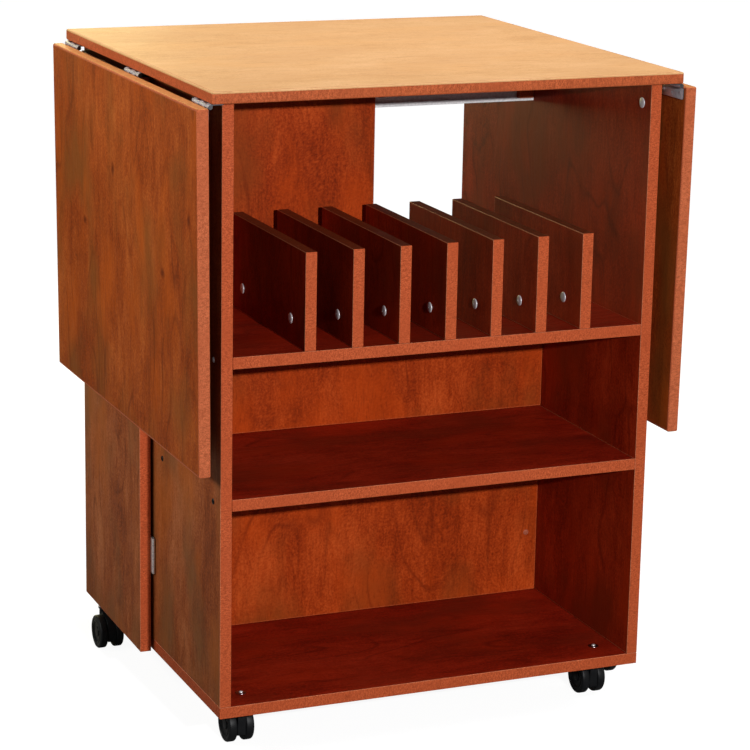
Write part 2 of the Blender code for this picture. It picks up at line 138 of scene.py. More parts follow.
# ---------------------------------------------------------------- material nodes
class Graph:
    """A material's node tree, with short calls that add and link its nodes."""

    def __init__(self, name):
        self.material = bpy.data.materials.new(name)
        self.material.use_nodes = True
        self.nodes = self.material.node_tree.nodes
        self.links = self.material.node_tree.links
        self.shader = self.nodes["Principled BSDF"]
        self.place = self.nodes.new("ShaderNodeTexCoord").outputs["Object"]

    def join(self, value, socket):
        if isinstance(value, bpy.types.NodeSocket):
            self.links.new(value, socket)
        else:
            socket.default_value = value

    def math(self, operation, a, b=0.0):
        made = self.nodes.new("ShaderNodeMath")
        made.operation = operation
        self.join(a, made.inputs[0])
        self.join(b, made.inputs[1])
        return made.outputs[0]

    def vector(self, operation, a, b):
        made = self.nodes.new("ShaderNodeVectorMath")
        made.operation = operation
        self.join(a, made.inputs[0])
        self.join(b, made.inputs[1])
        return made.outputs["Value" if operation == "DISTANCE" else "Vector"]

    def noise(self, place, frequency, detail=2.0, roughness=0.5, colour=False):
        """Noise at a place. frequency is its cycles per metre along X, Y and Z."""
        made = self.nodes.new("ShaderNodeTexNoise")
        made.inputs["Scale"].default_value = 1.0
        made.inputs["Detail"].default_value = detail
        made.inputs["Roughness"].default_value = roughness
        self.join(self.vector("MULTIPLY", place, frequency), made.inputs["Vector"])
        return made.outputs["Color" if colour else "Fac"]

    def span(self, value, low, high, to_low=0.0, to_high=1.0):
        """Maps low..high of a value to to_low..to_high, and stops at both ends."""
        made = self.nodes.new("ShaderNodeMapRange")
        made.clamp = True
        self.join(value, made.inputs["Value"])
        made.inputs["From Min"].default_value = low
        made.inputs["From Max"].default_value = high
        made.inputs["To Min"].default_value = to_low
        made.inputs["To Max"].default_value = to_high
        return made.outputs["Result"]

    def ramp(self, factor, stops):
        made = self.nodes.new("ShaderNodeValToRGB")
        ramp = made.color_ramp
        ramp.elements[0].position = stops[0][0]
        ramp.elements[0].color = (*stops[0][1], 1.0)
        ramp.elements[1].position = stops[-1][0]
        ramp.elements[1].color = (*stops[-1][1], 1.0)
        for position, colour in stops[1:-1]:
            element = ramp.elements.new(position)
            element.color = (*colour, 1.0)
        self.join(factor, made.inputs["Fac"])
        return made.outputs["Color"]

    def mix(self, factor, a, b):
        """Mixes two colours, each a socket or three numbers."""
        made = self.nodes.new("ShaderNodeMix")
        made.data_type = "RGBA"
        # by number, because the node has the same socket names once for each data type
        factor_in, a_in, b_in = made.inputs[0], made.inputs[6], made.inputs[7]
        self.join(factor, factor_in)
        self.join(a if isinstance(a, bpy.types.NodeSocket) else (*a, 1.0), a_in)
        self.join(b if isinstance(b, bpy.types.NodeSocket) else (*b, 1.0), b_in)
        return made.outputs[2]

    def bump(self, height, strength, distance):
        made = self.nodes.new("ShaderNodeBump")
        made.inputs["Strength"].default_value = strength
        made.inputs["Distance"].default_value = distance
        self.join(height, made.inputs["Height"])
        self.links.new(made.outputs["Normal"], self.shader.inputs["Normal"])

    def finish(self, colour, roughness, metallic=0.0, specular=0.5):
        self.links.new(colour, self.shader.inputs["Base Color"])
        self.join(roughness, self.shader.inputs["Roughness"])
        self.shader.inputs["Metallic"].default_value = metallic
        self.shader.inputs["Specular IOR Level"].default_value = specular
        return self.material


def palette(stops, cool, warm, mark, scale=(1.0, 1.0, 1.0)):
    """A laminate's colours: its ramp, its two clouds and its dark marks, each scaled alike."""
    def scaled(colour):
        return tuple(c * k for c, k in zip(colour, scale))
    return {"stops": [(place, scaled(colour)) for place, colour in stops],
            "cool": scaled(cool), "warm": scaled(warm), "mark": scaled(mark)}


# A palette's stops are (tone, colour), and its clouds the cool, the warm and the dark mark's colour.
CHERRY_STOPS = (
    (0.400, (0.190, 0.0320, 0.0050)),
    (0.450, (0.270, 0.0460, 0.0068)),
    (0.500, (0.350, 0.0660, 0.0100)),
    (0.550, (0.435, 0.0930, 0.0160)),
    (0.620, (0.530, 0.1320, 0.0260)),
)
CHERRY_CLOUDS = ((0.250, 0.0740, 0.0140), (0.490, 0.0900, 0.0075), (0.130, 0.0200, 0.0040))
# Painted light: the top's print is the cherry lightened to gold for the strong light that falls on the top.
LIT_TOP_CHERRY_STOPS = (
    (0.400, (0.545, 0.285, 0.118)),
    (0.460, (0.605, 0.328, 0.142)),
    (0.520, (0.645, 0.362, 0.167)),
    (0.600, (0.690, 0.405, 0.200)),
)
LIT_TOP_CHERRY_CLOUDS = ((0.610, 0.333, 0.150), (0.655, 0.350, 0.145), (0.380, 0.170, 0.055))
# Cherry is the leaves' print. The other reds are lit and shaded copies of the same print: a painted sheen
# outside on the gates and side panels, the painted light of the inside on back panels and undersides,
# painted shade on dividers and inside the side panels, and a deeper painted shade on the upper faces of the
# shelves.
CHERRY = palette(CHERRY_STOPS, *CHERRY_CLOUDS)
SHEEN_CHERRY = palette(CHERRY_STOPS, *CHERRY_CLOUDS, scale=(1.00, 1.34, 2.50))
INTERIOR_LIGHT_CHERRY = palette(CHERRY_STOPS, *CHERRY_CLOUDS, scale=(1.12, 0.69, 0.58))
SHADED_CHERRY = palette(CHERRY_STOPS, *CHERRY_CLOUDS, scale=(0.98, 0.38, 0.46))
SHELF_SHADE_CHERRY = palette(CHERRY_STOPS, *CHERRY_CLOUDS, scale=(0.79, 0.215, 0.36))
LIT_TOP_CHERRY = palette(LIT_TOP_CHERRY_STOPS, *LIT_TOP_CHERRY_CLOUDS)
TONE_LAYERS = (
    # cycles per metre across and along the grain, detail, roughness, share of the tone
    (10.0, 4.5, 3.0, 0.60, 0.32),
    (46.0, 9.0, 3.0, 0.62, 0.12),
    (36.0, 20.0, 3.0, 0.70, 0.15),
    (260.0, 22.0, 2.0, 0.50, 0.12),
    (320.0, 300.0, 2.0, 0.60, 0.29),
)
KNOTS = {
    # each small knot's y and z from the leaf's joint, its half width and its half height
    "left_leaf": ((-0.1808, -0.2417, 0.0050, 0.0040), (0.0366, -0.1390, 0.0040, 0.0055),
                  (0.1747, -0.2368, 0.0050, 0.0035), (-0.2900, -0.1500, 0.0035, 0.0055)),
}


def along(axis, across, lengthwise):
    """Scale factors per metre: lengthwise along the grain's axis, and across it on the other two."""
    factors = [across, across, across]
    factors[AXES[axis]] = lengthwise
    return tuple(factors)


def laminate_tone(g, place, grain):
    """The laminate's streaks and speckle, as one value around a half."""
    tone = None
    for across, lengthwise, detail, roughness, share in TONE_LAYERS:
        layer = g.noise(place, along(grain, across, lengthwise), detail, roughness)
        layer = g.math("MULTIPLY", layer, share)
        tone = layer if tone is None else g.math("ADD", tone, layer)
    return tone


def figure_lines(g, start, bent, grain, strength):
    """Thin curved lines like a plain-sawn board's growth rings, only in patches."""
    swell = g.noise(bent, along(grain, 11.0, 3.2), detail=1.0, roughness=0.4)
    ring = g.math("FRACT", g.math("MULTIPLY", swell, 6.0))
    ring = g.math("ABSOLUTE", g.math("SUBTRACT", ring, 0.5))
    patch = g.noise(start, along(grain, 8.0, 6.0))
    return g.math("MULTIPLY", g.span(ring, 0.0, 0.09, 1.0, 0.0), g.span(patch, 0.46, 0.62, 0.0, strength))


def knot(g, y, z, half_width, half_height):
    """A small dark oval with a ragged rim on a face that stands across X."""
    ragged = g.noise(g.place, (0.0, 350.0, 150.0))
    offset = g.vector("SUBTRACT", g.place, (0.0, y, z))
    spread = g.vector("MULTIPLY", offset, (0.0, 1.0 / half_width, 1.0 / half_height))
    reach = g.vector("DISTANCE", spread, (0.0, 0.0, 0.0))
    reach = g.math("ADD", reach, g.math("MULTIPLY", ragged, 0.8))
    return g.span(reach, 0.95, 2.60, 0.90, 0.0)


def laminate(name, grain, seed, colours, knots=(), figure=0.55):
    """Printed wood laminate: streaks, clouds of colour, figure lines, marks, knots, fibres and pores.

    seed moves the print, so that no two boards are alike.
    """
    g = Graph(name)
    start = g.vector("ADD", g.place, (0.37 * seed, 0.71 * seed, 0.53 * seed))
    bend = g.noise(start, along(grain, 9.0, 4.5), colour=True)
    bend = g.vector("MULTIPLY", g.vector("SUBTRACT", bend, (0.5, 0.5, 0.5)), (0.055, 0.055, 0.055))
    bent = g.vector("ADD", start, bend)
    colour = g.ramp(laminate_tone(g, bent, grain), colours["stops"])
    cool = g.noise(start, along(grain, 9.0, 5.5), detail=4.0)
    colour = g.mix(g.span(cool, 0.47, 0.66, 0.0, 0.85), colour, colours["cool"])
    warm = g.noise(bent, along(grain, 12.0, 6.0))
    colour = g.mix(g.span(warm, 0.52, 0.70, 0.0, 0.55), colour, colours["warm"])
    colour = g.mix(figure_lines(g, start, bent, grain, figure), colour, colours["mark"])
    marks = g.noise(bent, along(grain, 130.0, 20.0), detail=1.0)
    colour = g.mix(g.span(marks, 0.66, 0.80, 0.0, 0.40), colour, colours["mark"])
    pores = g.span(g.noise(bent, along(grain, 900.0, 60.0), detail=1.0), 0.60, 0.72)
    colour = g.mix(g.math("MULTIPLY", pores, 0.40), colour, colours["mark"])
    for place_and_size in knots:
        colour = g.mix(knot(g, *place_and_size), colour, colours["mark"])
    fibre = g.noise(bent, along(grain, 330.0, 12.0))
    g.bump(g.math("SUBTRACT", g.math("MULTIPLY", fibre, 0.35), pores), 0.12, 0.00025)
    return g.finish(colour, g.span(fibre, 0.35, 0.65, 0.46, 0.58), specular=LAMINATE_SPECULAR)


def banding(name, thickness_axis, base, light):
    """Edge banding: a plain strip with a fine woven print, soft blotches and a little wear."""
    g = Graph(name)
    ticks = g.noise(g.place, along(thickness_axis, 520.0, 240.0))
    weave = g.noise(g.place, (700.0, 700.0, 700.0), roughness=0.7)
    drift = g.noise(g.place, (16.0, 16.0, 16.0), detail=4.0)
    print_mask = g.math("ADD", g.math("MULTIPLY", ticks, 0.45), g.math("MULTIPLY", weave, 0.55))
    colour = g.mix(g.span(print_mask, 0.40, 0.60), tuple(0.74 * c for c in base), light)
    colour = g.mix(g.span(drift, 0.42, 0.66, 0.0, 0.55), colour, base)
    blotch = g.noise(g.place, (95.0, 95.0, 95.0))
    colour = g.mix(g.span(blotch, 0.60, 0.74, 0.0, 0.35), colour, tuple(0.55 * c for c in base))
    g.bump(print_mask, 0.15, 0.00015)
    return g.finish(colour, g.span(drift, 0.3, 0.7, 0.42, 0.52), specular=LAMINATE_SPECULAR)


def dark_seam():
    """The glue line between a face's laminate and the edge banding."""
    g = Graph("glue_line")
    grime = g.noise(g.place, (120.0, 120.0, 120.0))
    return g.finish(g.mix(grime, (0.060, 0.014, 0.005), (0.110, 0.028, 0.010)), 0.6)


def metal(name, base, roughness, metallic=1.0):
    """Plated steel with fine brushing and a faint cloudiness."""
    g = Graph(name)
    brushed = g.noise(g.place, (2400.0, 160.0, 2400.0))
    cloud = g.noise(g.place, (260.0, 260.0, 260.0), detail=3.0)
    colour = g.mix(g.span(cloud, 0.35, 0.7), base, tuple(0.80 * c for c in base))
    g.bump(brushed, 0.15, 0.00008)
    return g.finish(colour, g.span(brushed, 0.3, 0.7, roughness - 0.05, roughness + 0.05), metallic=metallic)


def nylon(name, base, roughness):
    """Moulded black plastic with a fine spark-eroded skin."""
    g = Graph(name)
    skin = g.noise(g.place, (2600.0, 2600.0, 2600.0))
    dust = g.noise(g.place, (90.0, 90.0, 90.0), detail=4.0)
    colour = g.mix(g.span(dust, 0.45, 0.75, 0.0, 0.5), base, tuple(1.8 * c + 0.001 for c in base))
    g.bump(skin, 0.12, 0.00012)
    return g.finish(colour, g.span(dust, 0.3, 0.7, roughness - 0.05, roughness + 0.08), specular=0.28)


BANDING = {axis: banding(f"cherry_banding_{axis}", axis, (0.470, 0.080, 0.0250), (0.640, 0.128, 0.0440))
           for axis in AXES}
# Painted sheen: the leaves' banding is tinted pinker for the sheen on their edges.
LEAF_SHEEN_BANDING = banding("leaf_painted_sheen_banding", "X", (0.500, 0.112, 0.0420), (0.670, 0.172, 0.0700))
TOP_BANDING = banding("top_banding", "Z", (0.440, 0.092, 0.0300), (0.620, 0.142, 0.0500))
# Painted highlight: the boards' rounded arrises are a much lighter banding for the light they catch.
ARRIS = banding("arris_painted_highlight", "X", (0.700, 0.250, 0.1250), (0.850, 0.370, 0.2100))
# Painted light: the leaves' top edges are lighter and more golden for the light from above.
LEAF_TOP_EDGE_LIGHT = banding("leaf_top_edge_painted_light", "X", (0.500, 0.185, 0.0560), (0.620, 0.250, 0.0800))
# Painted shade: the dividers' top edges are dark for the shade under the top board.
DIVIDER_UPPER_SHADE = banding("divider_upper_painted_shade", "X", (0.150, 0.026, 0.0090), (0.230, 0.042, 0.0150))
# Painted shade: the gates' top edges are almost black for the shade under the leaves.
GATE_UPPER_SHADE = banding("gate_upper_painted_shade", "X", (0.022, 0.006, 0.0025), (0.036, 0.010, 0.0045))
GLUE_LINE = dark_seam()
ZINC = metal("zinc_plate", (0.70, 0.71, 0.78), 0.38, metallic=0.5)
# Painted highlight: a lighter copy of the zinc, for the gate hinges that face the key light and the nuts'
# domes.
LIT_ZINC = metal("zinc_painted_highlight", (0.90, 0.90, 0.92), 0.34, metallic=0.5)
# Painted shade: a dark steel on the hinges' plate rims and knuckle ends, for the shade in the gaps between
# knuckles and along the rims.
RIM_AND_GAP_SHADE = metal("rim_and_gap_painted_shade", (0.100, 0.100, 0.110), 0.55)
# Painted shade: a darker, reddish copy of the zinc for the nuts' flanges, for the dark red interior they
# reflect.
NUT_SHADE_ZINC = metal("stem_nut", (0.200, 0.150, 0.160), 0.28)
CAM_METAL = metal("cam_zinc", (0.80, 0.78, 0.82), 0.36, metallic=0.20)
RAIL_STEEL = metal("rail_steel", (0.88, 0.88, 0.92), 0.42, metallic=0.15)
# Painted highlight: the rail's lip is a whiter, matte copy of its steel, for the key light it catches.
RAIL_LIP = metal("lip_painted_highlight", (0.97, 0.98, 1.00), 0.35, metallic=0.0)
CHERRY_CAP = banding("cherry_cap", "Y", (0.480, 0.130, 0.0700), (0.560, 0.170, 0.1000))
NYLON = nylon("black_nylon", (0.0035, 0.0040, 0.0050), 0.30)
TREAD = nylon("black_tread", (0.0050, 0.0055, 0.0065), 0.42)


# ---------------------------------------------------------------- mesh helpers
def mesh_from(name, shape):
    """Turns a bmesh into a mesh."""
    data = bpy.data.meshes.new(name)
    shape.to_mesh(data)
    shape.free()
    return data


def object_from(name, shape, materials, matrix, smooth_angle):
    """Turns a bmesh into a linked object at a matrix."""
    return object_with(name, mesh_from(name, shape), materials, matrix, smooth_angle)


def object_with(name, data, materials, matrix, smooth_angle):
    """Links an object at a matrix, smooth where its faces meet at less than an angle in degrees."""
    for item in materials:
        data.materials.append(item)
    data.shade_smooth()
    data.set_sharp_from_angle(angle=radians(smooth_angle))
    made = bpy.data.objects.new(name, data)
    bpy.context.scene.collection.objects.link(made)
    made.matrix_world = matrix
    return made


def even_normals(item):
    """Keeps flat faces flat beside their rounded edges."""
    modifier = item.modifiers.new("even_normals", "WEIGHTED_NORMAL")
    modifier.keep_sharp = True


def settle(item, body, slot, *replaced):
    """Makes a finished piece ride on its body, in place of the nodes that it replaces."""
    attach(item, body)
    if replaced:
        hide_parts(*replaced)


def box_into(shape, low, high):
    """Adds a box between two corners."""
    made = bmesh.ops.create_cube(shape, size=1.0)
    size = [b - a for a, b in zip(low, high)]
    middle = [(a + b) / 2 for a, b in zip(low, high)]
    bmesh.ops.scale(shape, vec=size, verts=made["verts"])
    bmesh.ops.translate(shape, vec=middle, verts=made["verts"])


def turn_into(shape, outline, sides, matrix=Matrix.Identity(4), index=0):
    """Turns an outline of (radius, height) points around Z. A radius of 0 closes an end.

    index is the material slot of the new faces.
    """
    rings = []
    for radius, height in outline:
        ring = []
        for i in range(sides if radius else 1):
            angle = 2 * pi * i / sides
            ring.append(shape.verts.new(matrix @ Vector((radius * cos(angle), radius * sin(angle), height))))
        rings.append(ring)
    made = []
    for first, second in zip(rings, rings[1:]):
        for i in range(sides):
            j = (i + 1) % sides
            if len(first) == 1:
                made.append(shape.faces.new((first[0], second[j], second[i])))
            elif len(second) == 1:
                made.append(shape.faces.new((first[i], first[j], second[0])))
            else:
                made.append(shape.faces.new((first[i], first[j], second[j], second[i])))
    for face in made:
        face.material_index = index


def extrude_into(shape, outline, start, end, matrix=Matrix.Identity(4)):
    """Extrudes a closed outline of (x, z) points from start to end along Y."""
    near = [shape.verts.new(matrix @ Vector((x, start, z))) for x, z in outline]
    far = [shape.verts.new(matrix @ Vector((x, end, z))) for x, z in outline]
    shape.faces.new(near)
    shape.faces.new(list(reversed(far)))
    for i in range(len(outline)):
        j = (i + 1) % len(outline)
        shape.faces.new((near[i], far[i], far[j], near[j]))


def joint_place(name):
    """Where a joint's axis passes at rest."""
    return Vector(next(joint["pos_m"] for joint in frame["joints"] if joint["name"] == name))


def local_box(node, matrix):
    """A solid's corners measured in another frame."""
    inverse = matrix.inverted()
    points = [inverse @ v.co for v in frame["nodes"][node].data.vertices]
    low = Vector([min(p[i] for p in points) for i in range(3)])
    high = Vector([max(p[i] for p in points) for i in range(3)])
    return low, high


# ---------------------------------------------------------------- boards
LOWER_FACE, BANDED, SEAM_RING, ARRIS_STRIP, UPPER_EDGE, UPPER_FACE = range(6)


def board(node, body, thickness_axis, faces, band_material, band=BAND, arris=BOARD_ARRIS, steps=2,
          matrix=Matrix.Identity(4), slot="cherry_laminate", arris_material=ARRIS, arris_reach=0.70,
          upper_edge=None, seam_material=GLUE_LINE, banded_below=False):
    """A laminated board with rounded arrises, edge banding and a fine glue line around each face.

    faces holds the finish of its face towards the axis's lower end, then of the other one. A face of an
    arris takes the arris's finish, by default a painted highlight, where it turns far enough, arris_reach,
    towards the wide face. upper_edge, where given, paints light on the leaves' top edges and shade on the
    dividers' and gates'.
    With banded_below, the arrises that face down keep the banding. matrix is the board's own frame.
    """
    low, high = local_box(node, matrix)
    axis = AXES[thickness_axis]
    shape = bmesh.new()
    box_into(shape, low, high)
    bmesh.ops.bevel(shape, geom=shape.edges[:], offset=arris, segments=steps, profile=0.5, affect="EDGES")
    shape.normal_update()
    for face in shape.faces:
        # an arris face that turns far enough takes the arris finish, by default a painted highlight
        turned_out = arris_reach < abs(face.normal[axis]) < SQUARE_ON
        face.material_index = ARRIS_STRIP if turned_out else BANDED
        if banded_below and face.normal.z < 0:
            face.material_index = BANDED
        # faces that look up take upper_edge: painted light on the leaves, painted shade on the dividers and
        # gates
        if upper_edge and face.normal.z > 0.70:
            face.material_index = UPPER_EDGE
    wide = [f for f in shape.faces if abs(f.normal[axis]) > SQUARE_ON and f.calc_area() > WIDE_FACE]
    for face in wide:
        bmesh.ops.inset_individual(shape, faces=[face], thickness=max(band - arris, LEAST_BAND),
                                   use_even_offset=True)
        ring = bmesh.ops.inset_individual(shape, faces=[face], thickness=SEAM, depth=-SEAM_DEPTH,
                                          use_even_offset=True)
        for side in ring["faces"]:
            side.material_index = SEAM_RING
        bmesh.ops.inset_individual(shape, faces=[face], thickness=SEAM, depth=SEAM_DEPTH,
                                   use_even_offset=True)
        face.material_index = LOWER_FACE if face.normal[axis] < 0 else UPPER_FACE
    materials = [faces[0], band_material, seam_material, arris_material, upper_edge or band_material,
                 faces[1]]
    made = object_from(f"{node}_board", shape, materials, matrix, 50)
    even_normals(made)
    settle(made, body, slot, node)


def make_side_panels():
    for seed, (side_name, sign) in enumerate(SIDES):
        node = f"{side_name}_side"
        # the inner face is the print with painted shade
        inner = laminate(f"laminate_{node}", "Z", seed + 1, SHADED_CHERRY)
        # the outer face is the print with a painted sheen
        outer = laminate(f"laminate_{node}_outer", "Z", seed + 20, SHEEN_CHERRY)
        faces = (outer, inner) if sign < 0 else (inner, outer)
        board(node, "cabinet", "X", faces, BANDING["X"])


def make_level_boards():
    for seed, node in enumerate(("bottom_board", "lower_shelf", "divider_shelf")):
        # the underside is the print in the inside's painted light
        under = laminate(f"laminate_{node}", "X", seed + 3, INTERIOR_LIGHT_CHERRY)
        # the upper face is the print with a deeper painted shade
        upper = laminate(f"laminate_{node}_upper", "X", seed + 22, SHELF_SHADE_CHERRY)
        board(node, "cabinet", "Z", (under, upper), BANDING["Z"])


def make_back_panels():
    """The panels' rims butt against other boards, so they get no painted arris highlight and no glue line.
    """
    for seed, node in enumerate(("back_lower", "back_middle", "back_upper")):
        # the print in the inside's painted light
        face = laminate(f"laminate_{node}", "Z", seed + 6, INTERIOR_LIGHT_CHERRY)
        board(node, "cabinet", "Y", (face, face), BANDING["Y"], arris_material=face, seam_material=face)


def make_dividers():
    for count in range(1, DIVIDERS + 1):
        node = f"divider_{count}"
        # the dividers' faces are the print with painted shade
        face = laminate(f"laminate_{node}", "Z", count + 8, SHADED_CHERRY)
        # painted shade on the dividers' top edges
        board(node, "cabinet", "X", (face, face), BANDING["X"], upper_edge=DIVIDER_UPPER_SHADE)


def make_rail_blocks():
    for seed, (side_name, _) in enumerate(SIDES):
        node = f"rail_block_{side_name}"
        # the print in the inside's painted light
        face = laminate(f"laminate_{node}", "X", seed + 16, INTERIOR_LIGHT_CHERRY)
        board(node, "cabinet", "Y", (face, face), BANDING["Y"])


def make_top():
    # the top's face and its upper arrises carry the painted light of the gold print
    top = laminate("laminate_top", "X", 40, LIT_TOP_CHERRY, figure=0.08)
    under = laminate("laminate_top_underside", "X", 41, CHERRY)
    board("top_board", "cabinet", "Z", (under, top), TOP_BANDING, THICK_BAND, THICK_ARRIS, 4,
          slot="top_laminate", arris_material=top, arris_reach=0.15, seam_material=top, banded_below=True)


def hinge_frame(joint_name, lean_axis, lean):
    """The frame of a hinged board: its origin on the joint, leaning as the board rests."""
    return Matrix.Translation(joint_place(joint_name)) @ Matrix.Rotation(radians(lean), 4, lean_axis)


def make_leaves_and_gates():
    for seed, (side_name, sign) in enumerate(SIDES):
        hang = hinge_frame(f"{side_name}_leaf_hinge", "Y", sign * LEAF_LEAN)
        node = f"{side_name}_leaf"
        face = laminate(f"laminate_{node}", "Z", seed + 51, CHERRY, KNOTS.get(node, ()))
        # painted sheen on the leaf's banding and arrises, painted light on its top edge
        board(node, node, "X", (face, face), LEAF_SHEEN_BANDING, THICK_BAND, THICK_ARRIS, 4, hang,
              arris_material=LEAF_SHEEN_BANDING, upper_edge=LEAF_TOP_EDGE_LIGHT)
        swing = hinge_frame(f"{side_name}_gate_hinge", "Z", -GATE_LEAN)
        node = f"{side_name}_gate"
        # the gate's faces are the print with a painted sheen
        face = laminate(f"laminate_{node}", "Z", seed + 61, SHEEN_CHERRY)
        # painted shade on the gate's top edge
        board(node, node, "X", (face, face), BANDING["X"], matrix=swing, upper_edge=GATE_UPPER_SHADE)


# ---------------------------------------------------------------- fasteners
def cross_recess(name, data, size, depth, top):
    """Cuts a cross-shaped driver recess into a closed head whose face is at the given height."""
    half = size / 2
    slot = size / 9
    bar = bmesh.new()
    box_into(bar, (-half, -slot, top - depth), (half, slot, top + depth))
    crossbar = bmesh.new()
    box_into(crossbar, (-slot, -half, top - depth * 0.98), (slot, half, top + depth * 1.1))
    base = bpy.data.objects.new(name, data)
    bpy.context.scene.collection.objects.link(base)
    tools = []
    for label, shape in (("bar", bar), ("crossbar", crossbar)):
        tool = bpy.data.objects.new(f"{name}_{label}", mesh_from(f"{name}_{label}", shape))
        bpy.context.scene.collection.objects.link(tool)
        cutting = base.modifiers.new(label, "BOOLEAN")
        cutting.operation = "DIFFERENCE"
        cutting.solver = "EXACT"
        cutting.object = tool
        tools.append(tool)
    result = bpy.data.meshes.new_from_object(base.evaluated_get(bpy.context.evaluated_depsgraph_get()))
    result.name = name
    for item in [base] + tools:
        bpy.data.objects.remove(item, do_unlink=True)
    return result


def domed_head(radius, height, rim, steps, sides):
    """A head's mesh: a short straight rim, a share of its height, and then a dome in steps."""
    outline = [(0, -EMBED), (radius, -EMBED), (radius, height * rim)]
    for step in range(1, steps):
        angle = radians(90) * step / steps
        outline.append((radius * cos(angle), height * (rim + (1 - rim) * sin(angle))))
    outline.append((0, height))
    shape = bmesh.new()
    turn_into(shape, outline, sides)
    bmesh.ops.recalc_face_normals(shape, faces=shape.faces)
    return mesh_from("head", shape)


def cam_mesh():
    """A cam fastener's low domed head with a cross recess."""
    head = domed_head(CAM_R, CAM_PROUD, 0.3, 7, 48)
    return cross_recess("cam_face", head, CAM_R * 0.70, 0.0006, CAM_PROUD)


def screw_mesh(radius, height):
    """A screw head with its underside at height 0 and a cross recess."""
    head = domed_head(radius, height, 0.15, 5, 28)
    return cross_recess("screw_head", head, radius, height * 0.7 + 0.0002, height)


def nut_mesh():
    """A caster stem's riveted end on the flange of its socket."""
    shape = bmesh.new()
    turn_into(shape, [(0, 0.0001), (0.0072, 0.0001), (0.0074, 0.0004), (0.0072, 0.0009), (0.0045, 0.0011),
                      (0, 0.0011)], 36)
    turn_into(shape, [(0, 0.0010), (0.0027, 0.0010), (0.0026, 0.0018), (0.0020, 0.0025), (0.0011, 0.0029),
                      (0, 0.0030)], 28, index=1)
    bmesh.ops.recalc_face_normals(shape, faces=shape.faces)
    return mesh_from("nut", shape)


def facing(place, direction, turn):
    """A matrix at a place whose Z points along a direction."""
    rotation = Vector(direction).to_track_quat("Z", "Y").to_matrix().to_4x4()
    return Matrix.Translation(place) @ rotation @ Matrix.Rotation(turn, 4, "Z")


def fasten(name, data, materials, matrix):
    """Places a copy of a fastener's mesh on the cabinet."""
    settle(object_with(name, data.copy(), materials, matrix, 40), "cabinet", "zinc")


def make_divider_cams(cam):
    """Two cams low on each divider's left face."""
    cam_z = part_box("divider_shelf")[1].z + DIVIDER_CAM_RISE
    for count in range(1, DIVIDERS + 1):
        low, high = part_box(f"divider_{count}")
        for label, y in (("front", low.y + DIVIDER_CAM_FRONT), ("rear", high.y - DIVIDER_CAM_REAR)):
            fasten(f"divider_{count}_cam_{label}", cam, [CAM_METAL],
                   facing((low.x, y, cam_z), (-1, 0, 0), 0.5 + count))


def make_side_fasteners(cam, screw):
    """On each side panel, two cams inside under the top, and three screws into each upper shelf."""
    cam_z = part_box("top_board")[0].z - TOP_CAM_DROP
    for side_name, sign in SIDES:
        low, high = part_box(f"{side_name}_side")
        inner, outer = (low.x, high.x) if sign > 0 else (high.x, low.x)
        for label, y in (("front", low.y + TOP_CAM_SETBACK), ("rear", high.y - TOP_CAM_SETBACK)):
            fasten(f"{side_name}_top_cam_{label}", cam, [CAM_METAL],
                   facing((inner, y, cam_z), (-sign, 0, 0), 0.4))
        places = (("front", low.y + SIDE_SCREW_SETBACK), ("middle", SIDE_SCREW_MIDDLE_Y),
                  ("rear", high.y - SIDE_SCREW_SETBACK))
        for shelf, finish in (("divider_shelf", ZINC), ("lower_shelf", NYLON)):
            shelf_low, shelf_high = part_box(shelf)
            middle = (shelf_low.z + shelf_high.z) / 2
            for label, y in places:
                fasten(f"{side_name}_{shelf}_screw_{label}", screw, [finish],
                       facing((outer, y, middle), (sign, 0, 0), 0.7))


def make_cover_caps(cap):
    """Cherry cover caps near the ends of the lower back panel."""
    low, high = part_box("back_lower")
    for label, x in (("left", low.x + COVER_CAP_SETBACK), ("right", high.x - COVER_CAP_SETBACK)):
        fasten(f"back_lower_cap_{label}", cap, [CHERRY_CAP],
               facing((x, low.y, low.z + COVER_CAP_RISE), (0, -1, 0), 0.3))


def make_stem_nuts():
    """The cabinet's caster stems come through the bottom board."""
    nut = nut_mesh()
    floor_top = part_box("bottom_board")[1].z
    for label in ("front_left", "front_right", "rear_left", "rear_right"):
        place = joint_place(f"{label}_swivel")
        seat = Matrix.Translation((place.x, place.y, floor_top))
        # painted shade on the flange, painted highlight on the dome
        fasten(f"{label}_stem_nut", nut, [NUT_SHADE_ZINC, LIT_ZINC], seat)


# ---------------------------------------------------------------- hinges
def knuckle(shape, start, end, size):
    """A rolled knuckle: a barrel around the pin, with a tab that runs out to the plate."""
    tab_low = max(size.plate_top - size.plate, size.pin_r + PIN_CLEAR)
    tab_high = min(size.plate_top, size.knuckle_r - 0.00005)
    tab_end = size.knuckle_r + TAB_REACH
    outline = [(tab_end, tab_high)]
    first = degrees(asin(tab_high / size.knuckle_r))
    if size.plate_top > tab_high:
        outline = [(tab_end, size.plate_top), (0.0, size.plate_top)]
        first = 90.0
    last = 360.0 + degrees(asin(tab_low / size.knuckle_r))
    steps = 32
    for step in range(steps + 1):
        angle = radians(first + (last - first) * step / steps)
        outline.append((size.knuckle_r * cos(angle), size.knuckle_r * sin(angle)))
    outline.append((tab_end, tab_low))
    extrude_into(shape, outline, start, end)


def mesh_into(shape, data, matrix):
    """Adds a copy of a mesh to a bmesh, at a matrix."""
    before = len(shape.verts)
    shape.from_mesh(data)
    shape.verts.ensure_lookup_table()
    bmesh.ops.transform(shape, matrix=matrix, verts=shape.verts[before:])


